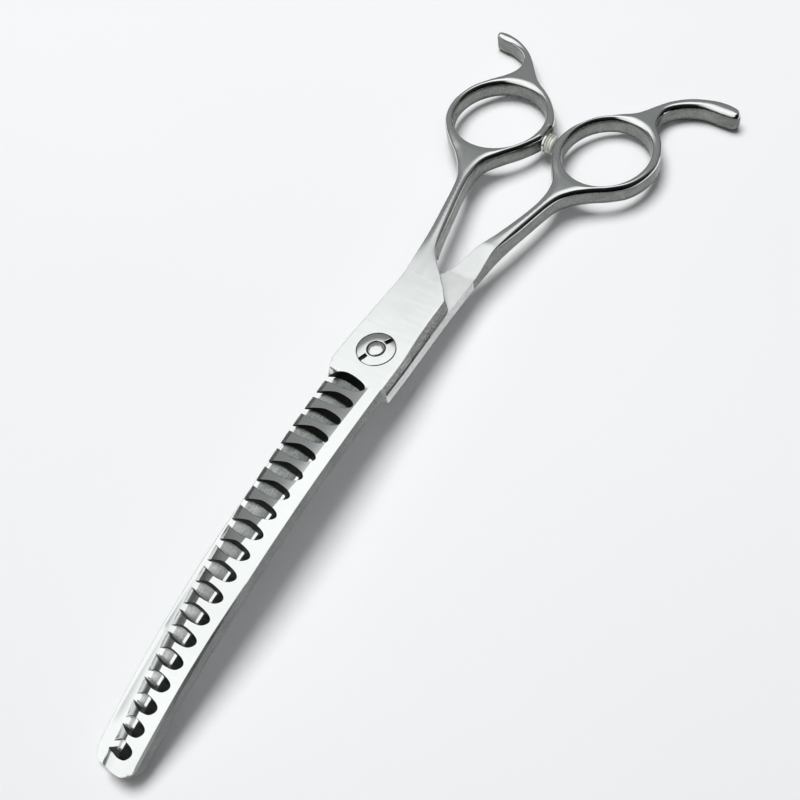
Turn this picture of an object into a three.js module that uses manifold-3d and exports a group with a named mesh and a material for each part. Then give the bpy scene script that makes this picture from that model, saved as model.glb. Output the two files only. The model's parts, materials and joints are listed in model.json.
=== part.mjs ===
// Curved grooming shears with one toothed (chunking) blade and one plain blade, in millimetres, +Z up.
// Each half is laid out flat: the screw's axis is the local Z axis, the blades point along +X, the rings lie
// along -X and the two halves meet on the plane z = 0. The blades are then arched, and the whole tool is
// tilted to the posture it takes on a table, resting on both rings and on the tip.
import * as THREE from 'three';
import { mergeVertices } from 'three/addons/utils/BufferGeometryUtils.js';
import Module from 'manifold-3d';

const wasm = await Module();
wasm.setup();

// Driving dimensions
const HALF = 2.65;          // half the thickness of the closed tool, and the thickness of one half
const RIDE = 0.05;          // clearance of each ride face from the plane between the halves
const REST_TILT = 4.71;     // degrees that the handle plane leans when the tool lies on a table
const ARCH_START = 16.7;    // distance from the screw at which the blades begin to bend
const ARCH_CURVE = 0.00439; // bend at the start, in radians per millimetre
const ARCH_GROWTH = 2.3e-5; // how much tighter the bend gets with each millimetre

const TEETH = 19;           // gaps, and teeth after them
const PITCH = 4.68;
const FIRST_GAP = 9.4;      // distance of the first gap's root from the screw
const GAP_HALF_MOUTH = 0.65;
const TOOTH_TIP_THICKNESS = 0.6;
const HEEL = 8.1;           // end of the full-thickness shoulder on the tooth side
const COMB_END = 98.8;
const PLAIN_END = 99.5;

const WELD = -21.3;         // where the comb blade is welded to its handle
const PLAIN_WELD = -27.3;
const WELD_GAP = 0.04;

const SCREW_RADIUS = 2.4;
const STUD_RADIUS = 1.85;
const BUSH_RADIUS = 3.1;
const SEAT_RADIUS = 4.45;   // round recess under the tension nut
const SEAT_FLOOR = 1.35;
const NUT_RADIUS = 4.3;
const RUN = 0.05;           // running clearance

// Materials
function steel(colour, roughness) {
  return new THREE.MeshStandardMaterial({ color: colour, roughness, metalness: 1 });
}
const satin = steel(0xc9cccb, 0.35);
const polished = steel(0xb9bdbc, 0.15);
const bright = steel(0xdadcdb, 0.2);
const nylon = new THREE.MeshStandardMaterial({ color: 0xe9e6dc, roughness: 0.55, metalness: 0 });
const silicone = new THREE.MeshStandardMaterial({ color: 0xdfe2d6, roughness: 0.25, metalness: 0 });

// Solids: closed geometry in, joined or cut by manifold, geometry out
function solid(geometry) {
  const bare = geometry.clone();
  bare.deleteAttribute('normal');
  bare.deleteAttribute('uv');
  const merged = mergeVertices(bare, 1e-4);
  const mesh = new wasm.Mesh({
    numProp: 3,
    vertProperties: new Float32Array(merged.attributes.position.array),
    triVerts: new Uint32Array(merged.index.array),
  });
  return new wasm.Manifold(mesh);
}

function geometryOf(manifold) {
  const { vertProperties, triVerts } = manifold.getMesh();
  const geometry = new THREE.BufferGeometry();
  geometry.setAttribute('position', new THREE.BufferAttribute(vertProperties, 3));
  geometry.setIndex(new THREE.BufferAttribute(triVerts, 1));
  return geometry;
}

function piece(name, shape, material) {
  const mesh = new THREE.Mesh(shape.getMesh ? geometryOf(shape) : shape, material);
  mesh.name = name;
  return mesh;
}

// Arching: a point of the flat blade at distance r from the screw moves onto a curve that dips to the tip
const ARCH_STEP = 0.5;
const archTable = [{ along: 0, drop: 0 }];
for (let s = ARCH_STEP; s < 100; s += ARCH_STEP) {
  const middle = s - ARCH_STEP / 2;
  const angle = archAngle(middle);
  const last = archTable[archTable.length - 1];
  archTable.push({
    along: last.along + ARCH_STEP * Math.cos(angle),
    drop: last.drop + ARCH_STEP * Math.sin(angle),
  });
}

function archAngle(s) {
  return ARCH_CURVE * s + ARCH_GROWTH * s * s / 2;
}

function arch(x, y, z) {
  const r = Math.hypot(x, y);
  const s = r - ARCH_START;
  if (x < 0 || s <= 0) return new THREE.Vector3(x, y, z);
  const index = Math.floor(s / ARCH_STEP);
  const share = s / ARCH_STEP - index;
  const along = THREE.MathUtils.lerp(archTable[index].along, archTable[index + 1].along, share);
  const drop = THREE.MathUtils.lerp(archTable[index].drop, archTable[index + 1].drop, share);
  const angle = archAngle(s);
  const reach = ARCH_START + along + z * Math.sin(angle);
  return new THREE.Vector3(reach * x / r, reach * y / r, z * Math.cos(angle) - drop);
}

// A blade is a row of cross-sections in planes of constant x, joined and capped, then arched.
function loft(stations) {
  const count = stations[0].section.length;
  const points = [];
  for (const { x, section } of stations) {
    for (const [y, z] of section) points.push(arch(x, y, z));
  }
  const index = [];
  for (let j = 0; j + 1 < stations.length; j += 1) {
    for (let k = 0; k < count; k += 1) {
      const a = j * count + k;
      const b = j * count + (k + 1) % count;
      index.push(a, b, b + count, a, b + count, a + count);
    }
  }
  const last = points.length - count;
  const cap = (section) => {
    const outline = section.map(([y, z]) => new THREE.Vector2(y, z));
    return THREE.ShapeUtils.triangulateShape(outline, []);
  };
  const end = stations[stations.length - 1].section;
  for (const [a, b, c] of cap(stations[0].section)) index.push(a, c, b);
  for (const [a, b, c] of cap(end)) index.push(last + a, last + b, last + c);
  const geometry = new THREE.BufferGeometry().setFromPoints(points);
  geometry.setIndex(index);
  return solid(geometry);
}

function upright(radius, low, high, sides = 48) {
  const geometry = new THREE.CylinderGeometry(radius, radius, high - low, sides);
  return solid(geometry.rotateX(Math.PI / 2).translate(0, 0, (low + high) / 2));
}

function lathe(profile, sides = 48) {
  const geometry = new THREE.LatheGeometry(profile.map(([r, z]) => new THREE.Vector2(r, z)), sides);
  return geometry.rotateX(Math.PI / 2);
}

function block(x0, x1, y0, y1, z0, z1) {
  const geometry = new THREE.BoxGeometry(x1 - x0, y1 - y0, z1 - z0);
  return solid(geometry.translate((x0 + x1) / 2, (y0 + y1) / 2, (z0 + z1) / 2));
}

// Along the toothed stretch each edge is a straight line with a slight bow
function bowed(start, end, bow) {
  return (x) => {
    const t = (x - 13.4) / 81.2;
    return start + (end - start) * t + bow * 4 * t * (1 - t);
  };
}
const combSpine = bowed(7.1, 8.05, 0.42);
const toothLine = bowed(-6.1, -0.15, -0.2);
const gapRoot = bowed(4.0, 5.4, 0.85);
const plainSpine = bowed(-5.1, -3.6, -0.1);
const plainEdge = bowed(3.2, 1.9, 0.2);

function between(points, x) {
  let k = 0;
  while (k + 2 < points.length && x > points[k + 1][0]) k += 1;
  const [x0, v0] = points[k];
  const [x1, v1] = points[k + 1];
  return THREE.MathUtils.mapLinear(x, x0, x1, v0, v1);
}

// Comb blade: flat shoulder round the screw, then a blade ground thin towards the tooth tips
const shoulderTeethSide = [[WELD, -6.85], [-18, -6.75], [-11, -6.95], [0, -7.3], [6, -7.25], [HEEL, -6.45]];
const shoulderSpineSide = [[WELD, 3.05], [-18, 5.7], [-8, 6.1], [0, 6.9], [HEEL, 7.1]];

// The grind that thins the teeth starts at this line: near the screw it takes nearly the whole width
const grindLine = [[HEEL, 4.4], [34, 4.4], [60, 0.9], [COMB_END, 3.3]];

function combThickness(x) {
  return HALF - 0.15 * Math.max(0, x - HEEL) / (COMB_END - HEEL);
}

function combSection(x, low, high, ground) {
  const top = combThickness(x);
  const chamfer = ground ? 0.12 + 0.58 * THREE.MathUtils.smoothstep(x, 48, 78) : 0.12;
  const grind = ground ? between(grindLine, x) : 3;
  const tip = ground ? TOOTH_TIP_THICKNESS : top;
  return [
    [low, RIDE], [high, RIDE], [high, top - chamfer], [high - chamfer, top],
    [Math.min(grind, high - 2 * chamfer), top], [(low + grind) / 2, 0.57 * top + 0.43 * tip], [low, tip],
  ];
}

function combBlade() {
  const stations = [];
  for (const x of [WELD, -18, -11, -4, 2, 6, HEEL]) {
    const low = between(shoulderTeethSide, x);
    const high = between(shoulderSpineSide, x);
    stations.push({ x, section: combSection(x, low, high, false) });
  }
  const straightEnd = 95.1;
  for (let x = HEEL + 1.7; x < straightEnd; x += PITCH / 2) {
    stations.push({ x, section: combSection(x, toothLine(x), combSpine(x), true) });
  }
  const corner = 3.6;
  for (const angle of [0, 25, 45, 62, 76]) {
    const turn = THREE.MathUtils.degToRad(angle);
    const x = straightEnd + (COMB_END - straightEnd) * Math.sin(turn);
    const high = combSpine(x) - corner * (1 - Math.cos(turn));
    stations.push({ x, section: combSection(x, toothLine(x), high, true) });
  }
  return loft(stations);
}

// One gap: narrow mouth between the tooth tips, a bulge to each side, then a round root
function gapCutter(number) {
  const x = FIRST_GAP + PITCH * number;
  const root = gapRoot(x);
  const depth = root - toothLine(x);
  const lean = 0.6 + 0.006 * (number - 7) ** 2;
  const inward = 1.4 - 0.02 * number;
  const outward = 1.8 + 0.025 * number;
  const side = new THREE.SplineCurve([
    new THREE.Vector2(lean - GAP_HALF_MOUTH, -depth),
    new THREE.Vector2(-0.72 * inward, -0.7 * depth),
    new THREE.Vector2(-inward, -0.47 * depth),
    new THREE.Vector2(-0.55 * inward, -0.12 * depth),
    new THREE.Vector2(0.35, 0),
    new THREE.Vector2(0.8 * outward, -0.13 * depth),
    new THREE.Vector2(outward, -0.38 * depth),
    new THREE.Vector2(0.95 * outward, -0.66 * depth),
    new THREE.Vector2(lean + GAP_HALF_MOUTH, -depth),
  ]);
  const past = depth + 2;
  const outline = [
    new THREE.Vector2(lean - GAP_HALF_MOUTH, -past),
    ...side.getPoints(20),
    new THREE.Vector2(lean + GAP_HALF_MOUTH, -past),
  ];
  const cutHeight = 8;
  const settings = { depth: cutHeight, bevelEnabled: false };
  const geometry = new THREE.ExtrudeGeometry(new THREE.Shape(outline), settings);
  geometry.translate(0, 0, -cutHeight / 2);
  const angle = archAngle(Math.max(0, x - ARCH_START));
  geometry.rotateY(angle);
  const foot = arch(x, 0, HALF / 2);
  geometry.translate(foot.x, root, foot.z);
  return solid(geometry);
}

function toothedBlade() {
  let blade = combBlade();
  for (let number = 0; number < TEETH; number += 1) blade = blade.subtract(gapCutter(number));
  blade = blade.subtract(upright(BUSH_RADIUS + RUN, -1, HALF + 1));
  return blade.subtract(upright(SEAT_RADIUS, SEAT_FLOOR, HALF + 1));
}

// Plain blade: hollow-ground inner face between the spine and the ride line along the cutting edge
const plainShoulderSpineSide = [
  [PLAIN_WELD, 0.1], [-22, -3.6], [-18, -6.2], [-8, -6.7], [4, -6.8], [8, -5.1],
];
const plainShoulderEdgeSide = [[PLAIN_WELD, 6.95], [-17, 7.0], [-9, 7.2], [0, 7.5], [7.5, 7.6]];

function plainSection(x, low, high, ground) {
  const thickness = HALF - 0.5 * Math.max(0, x) / PLAIN_END;
  const edge = ground ? 0.4 : thickness;
  const bevel = ground ? 3.2 : 0.12;
  const hollow = ground ? 0.35 : 0;
  const rideLine = 0.7;
  return [
    [low, -thickness + 0.25], [low + 0.25, -thickness], [high - bevel, -thickness], [high, -edge],
    [high, -RIDE], [high - rideLine, -RIDE], [(low + high) / 2, -RIDE - hollow], [low + rideLine, -RIDE],
    [low, -RIDE],
  ];
}

function plainBlade() {
  const stations = [];
  for (const x of [PLAIN_WELD, -22, -18, -9, 0, 4, 7.5]) {
    const low = between(plainShoulderSpineSide, x);
    const high = between(plainShoulderEdgeSide, x);
    stations.push({ x, section: plainSection(x, low, high, false) });
  }
  const straightEnd = 96.4;
  for (let x = 8.6; x < straightEnd; x += PITCH / 2) {
    stations.push({ x, section: plainSection(x, plainSpine(x), plainEdge(x), true) });
  }
  for (const angle of [0, 35, 65, 80]) {
    const turn = THREE.MathUtils.degToRad(angle);
    const x = straightEnd + (PLAIN_END - straightEnd) * Math.sin(turn);
    const low = plainSpine(x) + 2 * (1 - Math.cos(turn));
    stations.push({ x, section: plainSection(x, low, plainEdge(x), true) });
  }
  const washerRecess = upright(4.6, -0.42, 1);
  const headRecess = upright(4.35, -HALF - 1, -HALF + 0.95);
  const screwHole = upright(SCREW_RADIUS + RUN, -5, 5);
  return loft(stations).subtract(screwHole).subtract(washerRecess).subtract(headRecess);
}

// Handles: shank, ring with its finger hole, and the finger rest curling off the ring
const combInner = [
  [WELD, 3.05], [-24, 0.6], [-27.3, -2.5], [-31, -4.8], [-38.9, -6.8], [-48.7, -9.2], [-53.8, -10],
  [-58.6, -9.6], [-62.6, -7.1], [-66.7, -3.9], [-71.2, -1.3], [-74.3, -0.5], [-77.9, -1.2],
];
const combRest = [
  [-80.7, -2.8], [-83.9, -5.6], [-86.4, -8.6], [-89.1, -12.3], [-95.2, -17.6], [-98.2, -21],
  [-100.3, -24.8], [-101.3, -28.5], [-101, -30.9], [-99.6, -30.9], [-98.9, -28.6], [-98.5, -25.6],
  [-97, -22.2], [-94.6, -19.9], [-91.8, -19.3], [-89.4, -19.8],
];
const combOuter = [
  [-86.9, -21.4], [-83.9, -24], [-79.7, -26.7], [-73.9, -27.9], [-68.6, -26.9], [-64.4, -24.1],
  [-60.6, -20.3], [-58.2, -17.6], [-54.4, -14.5], [-50, -12.3], [-40.2, -10.2], [-30.8, -8.3], [WELD, -6.85],
];
const plainInner = [
  [PLAIN_WELD, 0.1], [-30.5, 1.7], [-38.3, 4.6], [-44.1, 6.3], [-50.1, 7.9], [-55, 8.6], [-59, 8.3],
  [-61.6, 7.3], [-65.9, 4.5], [-70, 2.8], [-73, 2.2], [-76.3, 2.6],
];
const plainRest = [
  [-79.8, 4], [-83.9, 7.1], [-86.9, 11.1], [-89.4, 14.9], [-93.5, 17.9], [-96.8, 20.7], [-99.5, 24.9],
  [-101, 30.4], [-100.6, 34.9], [-99, 36.7], [-97.6, 36], [-97.5, 33], [-97.6, 28.6], [-96.1, 24.4],
  [-93.6, 21.4], [-90.9, 20.4],
];
const plainOuter = [
  [-87.8, 20.9], [-85.8, 22.2], [-83, 24.5], [-79.4, 26.3], [-75.4, 27.3], [-70.9, 26.8], [-66.8, 24.9],
  [-63.7, 21.5], [-61.2, 17.5], [-58.4, 14.1], [-54.5, 11.8], [-44.6, 9.6], [-35.3, 7.6], [PLAIN_WELD, 6.95],
];
const combHole = { x: -74.13, y: -14.66, halfLength: 11.55, halfWidth: 11.3 };
const plainHole = { x: -74.23, y: 14.72, halfLength: 11.25, halfWidth: 10.15 };

// A handle's edges are rounded in a quarter ellipse, nearly sharp at the weld and full on the shank and ring
const ROUND_IN = 0.6;
const ROUND_DOWN = 1.5;
const WELD_EDGE = 0.12;
const ROUND_ANGLES = [0, 30, 60, 90];

function roundedSide(contour, weld) {
  const count = contour.length;
  const layer = (angle, side) => contour.map((point, k) => {
    const turn = THREE.MathUtils.degToRad(angle);
    const along = new THREE.Vector2().subVectors(contour[(k + 1) % count], contour[(k + count - 1) % count]);
    const share = 1 - THREE.MathUtils.smoothstep(point.x, weld - 18, weld - 3);
    const inset = THREE.MathUtils.lerp(WELD_EDGE, ROUND_IN, share) * (1 - Math.sin(turn));
    const down = THREE.MathUtils.lerp(WELD_EDGE, ROUND_DOWN, share) * (1 - Math.cos(turn));
    along.normalize();
    return new THREE.Vector3(point.x - inset * along.y, point.y + inset * along.x, side * (HALF - down));
  });
  const upper = ROUND_ANGLES.map((angle) => layer(angle, 1));
  const lower = ROUND_ANGLES.map((angle) => layer(angle, -1)).reverse();
  return [...upper, ...lower];
}

function handlePlate(outline, hole, weld) {
  const curve = new THREE.SplineCurve(outline.map(([x, y]) => new THREE.Vector2(x, y)));
  const edge = curve.getPoints(outline.length * 2);
  if (THREE.ShapeUtils.isClockWise(edge)) edge.reverse();
  const rim = new THREE.EllipseCurve(hole.x, hole.y, hole.halfLength, hole.halfWidth, 0, 2 * Math.PI, true);
  const opening = rim.getPoints(56).slice(1);
  const contours = [roundedSide(edge, weld), roundedSide(opening, weld)];
  const points = [];
  const index = [];
  for (const layers of contours) {
    const start = points.length;
    const count = layers[0].length;
    for (const layer of layers) points.push(...layer);
    for (let j = 0; j + 1 < layers.length; j += 1) {
      for (let k = 0; k < count; k += 1) {
        const a = start + j * count + k;
        const b = start + j * count + (k + 1) % count;
        index.push(a, a + count, b + count, a, b + count, b);
      }
    }
  }
  const last = contours[0].length - 1;
  const lidPoint = (k, row) => {
    if (k < edge.length) return row * edge.length + k;
    return (last + 1) * edge.length + row * opening.length + k - edge.length;
  };
  const [lidEdge, lidHole] = contours.map((layers) => layers[0].map(({ x, y }) => new THREE.Vector2(x, y)));
  for (const [a, b, c] of THREE.ShapeUtils.triangulateShape(lidEdge, [lidHole])) {
    index.push(lidPoint(a, 0), lidPoint(b, 0), lidPoint(c, 0));
    index.push(lidPoint(a, last), lidPoint(c, last), lidPoint(b, last));
  }
  const geometry = new THREE.BufferGeometry().setFromPoints(points);
  geometry.setIndex(index);
  return solid(geometry);
}

const BUMPER_X = -72.7;
const BUMPER_FOOT = -1.0;   // floor of the bumper's seat in the side of the comb ring

function alongY(radius, low, high, sides = 32) {
  const geometry = new THREE.CylinderGeometry(radius, radius, high - low, sides);
  return solid(geometry.translate(BUMPER_X, (low + high) / 2, 0));
}

function combHandle() {
  const plate = handlePlate([...combInner, ...combRest, ...combOuter], combHole, WELD);
  const end = block(WELD - WELD_GAP, 0, -20, 20, -9, 9);
  const relief = block(-30.5, 0, -20, 20, -9, RIDE);
  const screwHole = alongY(0.95, BUMPER_FOOT - 1.35, 3);
  const flangeSeat = alongY(2.4, BUMPER_FOOT, 3);
  return plate.subtract(end).subtract(relief).subtract(screwHole).subtract(flangeSeat);
}

function plainHandle() {
  const plate = handlePlate([...plainInner, ...plainRest, ...plainOuter], plainHole, PLAIN_WELD);
  const end = block(PLAIN_WELD - WELD_GAP, 0, -20, 20, -9, 9);
  const rampFoot = -27.4;
  const rampTop = -35;
  const ramp = new THREE.Shape([
    new THREE.Vector2(0, -RIDE),
    new THREE.Vector2(0, 9),
    new THREE.Vector2(rampTop - 4, 9),
    new THREE.Vector2(rampTop, HALF + 0.01),
    new THREE.Vector2(rampFoot, -RIDE),
  ]);
  const cut = new THREE.ExtrudeGeometry(ramp, { depth: 40, bevelEnabled: false });
  return plate.subtract(end).subtract(solid(cut.rotateX(Math.PI / 2).translate(0, 20, 0)));
}

// Pivot: a headed screw held by the plain half, a bush and washers, and the slotted tension nut on its stud
function pivotScrew() {
  return lathe([
    [0, -HALF - 0.25], [2.2, -HALF - 0.2], [3.9, -HALF + 0.05], [4.25, -HALF + 0.35], [4.25, -HALF + 0.9],
    [SCREW_RADIUS, -HALF + 0.9], [SCREW_RADIUS, SEAT_FLOOR - 0.1], [STUD_RADIUS, SEAT_FLOOR + 0.1],
    [STUD_RADIUS, 2.8], [1.7, 2.98], [1.2, 3.1], [0.6, 3.16], [0, 3.18],
  ]);
}

function ringBetween(inner, outer, low, high) {
  return lathe([[inner, low], [outer, low], [outer, high], [inner, high], [inner, low]]);
}

function waveWasher() {
  const geometry = ringBetween(STUD_RADIUS + 0.3, NUT_RADIUS - 0.3, SEAT_FLOOR + 0.27, SEAT_FLOOR + 0.42);
  const position = geometry.attributes.position;
  for (let k = 0; k < position.count; k += 1) {
    const angle = Math.atan2(position.getY(k), position.getX(k));
    position.setZ(k, position.getZ(k) + 0.07 * Math.cos(3 * angle));
  }
  return geometry;
}

function tensionNut() {
  const low = SEAT_FLOOR + 0.56;
  const high = low + 1;
  const disc = lathe([
    [STUD_RADIUS + 0.2, low], [NUT_RADIUS - 0.1, low], [NUT_RADIUS, low + 0.1], [NUT_RADIUS, high - 0.35],
    [NUT_RADIUS - 0.12, high - 0.22], [STUD_RADIUS + 0.3, high], [STUD_RADIUS + 0.2, high - 0.1],
    [STUD_RADIUS + 0.2, low],
  ]);
  const slot = new THREE.BoxGeometry(2 * NUT_RADIUS + 2, 1.0, 1.4);
  slot.rotateZ(THREE.MathUtils.degToRad(157)).translate(0, 0, high + 0.05);
  const slots = solid(slot).subtract(upright(2.45, 0, 6));
  return solid(disc).subtract(slots);
}

// Bumper: a flanged screw in the comb ring that carries a ribbed silencer against the plain ring
function onRing(profile, sides = 32) {
  const geometry = new THREE.LatheGeometry(profile.map(([r, y]) => new THREE.Vector2(r, y)), sides);
  return geometry.translate(BUMPER_X, 0, 0);
}

function bumperScrew() {
  const face = BUMPER_FOOT + 0.05;
  return onRing([
    [0, face - 1.3], [0.85, face - 1.3], [0.85, face], [2.3, face], [2.3, face + 0.55], [0.75, face + 0.65],
    [0.75, face + 1.9], [0, face + 1.9],
  ]);
}

function bumperPad() {
  const foot = BUMPER_FOOT + 0.65;
  const rib = (low) => {
    const y = foot + low;
    return [[2.35, y], [2.35, y + 0.35], [1.95, y + 0.5], [1.95, y + 0.65]];
  };
  return onRing([
    [0.85, foot + 0.2], [2.1, foot + 0.05], ...rib(0.2), ...rib(0.9), [2.3, foot + 1.6], [2.25, foot + 1.95],
    [1.6, foot + 2.3], [0, foot + 2.35], [0, foot + 1.45], [0.85, foot + 1.45], [0.85, foot + 0.2],
  ]);
}

// Assembly
const tool = new THREE.Group();
tool.add(piece('comb_blade', toothedBlade(), satin));
tool.add(piece('comb_handle', combHandle(), polished));
tool.add(piece('plain_blade', plainBlade(), satin));
tool.add(piece('plain_handle', plainHandle(), polished));
tool.add(piece('pivot_screw', pivotScrew(), bright));
tool.add(piece('pivot_bush', ringBetween(SCREW_RADIUS + RUN, BUSH_RADIUS, 0.1, SEAT_FLOOR - 0.1), nylon));
tool.add(piece('friction_washer', ringBetween(SCREW_RADIUS + RUN, 4.5, -0.37, 0.0), nylon));
const thrustRing = ringBetween(SCREW_RADIUS + 0.1, NUT_RADIUS, SEAT_FLOOR + RUN, SEAT_FLOOR + 0.18);
tool.add(piece('thrust_washer', thrustRing, nylon));
tool.add(piece('wave_washer', waveWasher(), bright));
tool.add(piece('tension_nut', tensionNut(), bright));
tool.add(piece('bumper_screw', bumperScrew(), bright));
tool.add(piece('bumper_pad', bumperPad(), silicone));
tool.rotation.y = -THREE.MathUtils.degToRad(REST_TILT);

// The frame's origin is on the table, under the middle of the resting tool's bounding box
const group = new THREE.Group();
group.add(tool);
group.updateMatrixWorld(true);
const bounds = new THREE.Box3().setFromObject(group, true);
const middle = bounds.getCenter(new THREE.Vector3());
tool.position.set(-middle.x, -middle.y, -bounds.min.z);

export default group;
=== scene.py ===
import json
import math

import bmesh
import bpy
import numpy as np
from mathutils import Matrix, Vector
from mathutils import geometry as plane_geometry


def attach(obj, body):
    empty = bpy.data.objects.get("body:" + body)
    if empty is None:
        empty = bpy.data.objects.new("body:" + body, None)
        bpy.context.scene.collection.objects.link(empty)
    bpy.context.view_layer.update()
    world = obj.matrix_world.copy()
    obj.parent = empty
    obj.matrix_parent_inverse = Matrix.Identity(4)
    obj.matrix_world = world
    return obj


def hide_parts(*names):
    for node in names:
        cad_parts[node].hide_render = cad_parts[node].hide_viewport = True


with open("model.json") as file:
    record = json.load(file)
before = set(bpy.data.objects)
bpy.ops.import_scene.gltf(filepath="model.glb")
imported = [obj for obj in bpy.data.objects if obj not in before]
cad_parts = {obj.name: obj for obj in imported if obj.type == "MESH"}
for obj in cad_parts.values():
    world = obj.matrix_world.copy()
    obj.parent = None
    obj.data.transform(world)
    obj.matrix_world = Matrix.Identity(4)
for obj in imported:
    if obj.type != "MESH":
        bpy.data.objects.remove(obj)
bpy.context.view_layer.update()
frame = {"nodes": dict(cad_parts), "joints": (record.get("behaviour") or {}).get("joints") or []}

# ---------------- dimensions, millimetres in the flat tool
# The halves are plates that meet at height 0, with the pivot at the origin and the tips along X.
HALF = 2.65
RIDE = 0.05
ARCH_START = 16.7
ARCH_CURVE = 0.00439
ARCH_GROWTH = 2.3e-5
ARCH_LENGTH = 100
FIRST_STATION = 13.4
STATION_SPAN = 81.2

# outlines
HEEL = 8.1
COMB_END = 98.8
PLAIN_END = 99.5
WELD = -21.3
PLAIN_WELD = -27.3
COMB_WELD_SIDES = (3.05, -6.85)
PLAIN_WELD_SIDES = (6.95, 0.1)
COMB_NOSE = 95.1
COMB_NOSE_LENGTH = 3.7
COMB_NOSE_DROP = 3.6
PLAIN_NOSE = 96.4
PLAIN_NOSE_LENGTH = 3.1
PLAIN_NOSE_DROP = 2
OUTLINE_STEP = 0.5
GAP_STEP = 0.22
WELD_STEP = 0.8
NOTCH_STEP = 0.3

# gaps between the comb's teeth
TEETH = 19
PITCH = 4.68
FIRST_GAP = 9.4
GAP_HALF_MOUTH = 0.65
SCOOP_LAP = 0.02
SIDE_SCOOP = 0.85

# edges and faces of the blades
BLADE_EDGE = 0.06
EASED_EDGE = 0.12
SPINE_FLARE = 0.4
SHOULDER_STEP = 0.3
CHAMFER_NARROW = 0.12
CHAMFER_GROWTH = 0.58
CHAMFER_SLOPE = 0.3
TIP_THICKNESS = 0.6
TIP_FACET = 1.1
TIP_FACET_DROP = 0.22
COMB_TAPER = 0.15
PLAIN_TAPER = 0.5
RIDE_LINE = 0.7
HOLLOW_DEPTH = 0.38
HOLLOW_ENDS = (5, 95.5)
BEVEL = 3.2
BEVEL_EDGE = 0.4
FLAT_END = -10
PLATE_GRID = 0.6
HEEL_GRID = 0.2
ROW_STEP = 0.3

# pivot
SCREW_RADIUS = 2.4
HEAD_RADIUS = 4.25
STUD_RADIUS = 1.85
BUSH_BORE = 3.15
POCKET = 4.6
POCKET_FLOOR = -0.42
RECESS = 4.35
RECESS_FLOOR = -1.7
SEAT_RADIUS = 4.45
SEAT_FLOOR = 1.35
NUT_RADIUS = 4.3
NUT_BORE = 2.05
NUT_CONE = 0.22
SLOT_WAY = 157
SLOT_HALF = 0.5
SLOT_DEPTH = 0.65
SLOT_INNER = 2.45
SLOT_OUTER = 5.2

# rings, shanks and bumper
BUMPER_X = -72.7
BUMPER_FOOT = -1.0
SEAT_REACH = (2.4, 4.4)
ROUND_IN = 0.55
ROUND_DOWN = 1.0
DEEP_SIDE = np.array([0.64, 0.768])
DEEP_IN = 0.6
DEEP_DOWN = 1.0
WELD_EDGE = 0.12
CROWN_DROP = 0.24
CROWN_REACH = 2.0
HANDLE_GRID = 0.3
HANDLE_OUTLINE_STEP = 0.3
HANDLE_SLOPE_STEP = 0.2
COMB_TANG = (-30.8, -29.6)
PLAIN_RAMP = -36.8

hinge = next(j for j in frame["joints"] if j["name"] == "comb_hinge")
PIVOT = np.array(hinge["pos_m"])
UP = np.array(hinge["axis"]) / np.linalg.norm(hinge["axis"])
SIDE = np.array([0.0, 1.0, 0.0])
ALONG = np.cross(SIDE, UP)
AXES = np.stack([ALONG, SIDE, UP])


def to_row(points):
    """Points of the flat tool, in millimetres, as places in the scene."""
    return PIVOT + (np.asarray(points) @ AXES) / 1000


# ---------------- arch of the blades
ARCH_S = np.linspace(0, ARCH_LENGTH, 2001)
ARCH_ANGLE = ARCH_CURVE * ARCH_S + ARCH_GROWTH * ARCH_S**2 / 2
ARCH_STEP = ARCH_S[1]
ARCH_MIDDLE = (ARCH_ANGLE[1:] + ARCH_ANGLE[:-1]) / 2
ARCH_ALONG = np.concatenate([[0], np.cumsum(np.cos(ARCH_MIDDLE)) * ARCH_STEP])
ARCH_FALL = np.concatenate([[0], np.cumsum(np.sin(ARCH_MIDDLE)) * ARCH_STEP])


def arched(points):
    """Bends the blades downwards along the distance from the pivot, beyond the shoulder."""
    x, y, z = np.asarray(points, float).T
    r = np.maximum(np.hypot(x, y), 1e-9)
    s = np.where(x > 0, np.maximum(r - ARCH_START, 0), 0)
    angle = np.interp(s, ARCH_S, ARCH_ANGLE)
    reach = np.where(s > 0, ARCH_START + np.interp(s, ARCH_S, ARCH_ALONG) + z * np.sin(angle), r)
    down = np.interp(s, ARCH_S, ARCH_FALL)
    return np.stack([reach * x / r, reach * y / r, z * np.cos(angle) - down], 1)


# ---------------- curves
def spline(points, per=16):
    """Smooth curve through the points."""
    p = np.asarray(points, float)
    out = []
    for k in range(len(p) - 1):
        p0, p1, p2, p3 = p[max(k - 1, 0)], p[k], p[k + 1], p[min(k + 2, len(p) - 1)]
        t = (np.arange(per) / per)[:, None]
        v0, v1 = (p2 - p0) / 2, (p3 - p1) / 2
        cubic = (2 * p1 - 2 * p2 + v0 + v1) * t**3
        square = (-3 * p1 + 3 * p2 - 2 * v0 - v1) * t**2
        out.append(cubic + square + v0 * t + p1)
    return np.concatenate([*out, p[-1:]])


def spaced(points, spacing):
    """The same line with points at even spacing, its ends kept."""
    p = np.asarray(points, float)
    length = np.concatenate([[0], np.cumsum(np.linalg.norm(np.diff(p, axis=0), axis=1))])
    count = max(2, int(round(length[-1] / spacing)) + 1)
    at = np.linspace(0, length[-1], count)
    return np.stack([np.interp(at, length, p[:, 0]), np.interp(at, length, p[:, 1])], 1)


def joined(*lines):
    """Lines put end to end, each point once."""
    whole = np.concatenate(lines)
    step = np.linalg.norm(np.diff(whole, axis=0, append=whole[:1]), axis=1)
    return whole[step > 1e-4]


def smoothstep(x, low, high):
    t = np.clip((np.asarray(x, float) - low) / (high - low), 0, 1)
    return t * t * (3 - 2 * t)


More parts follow.
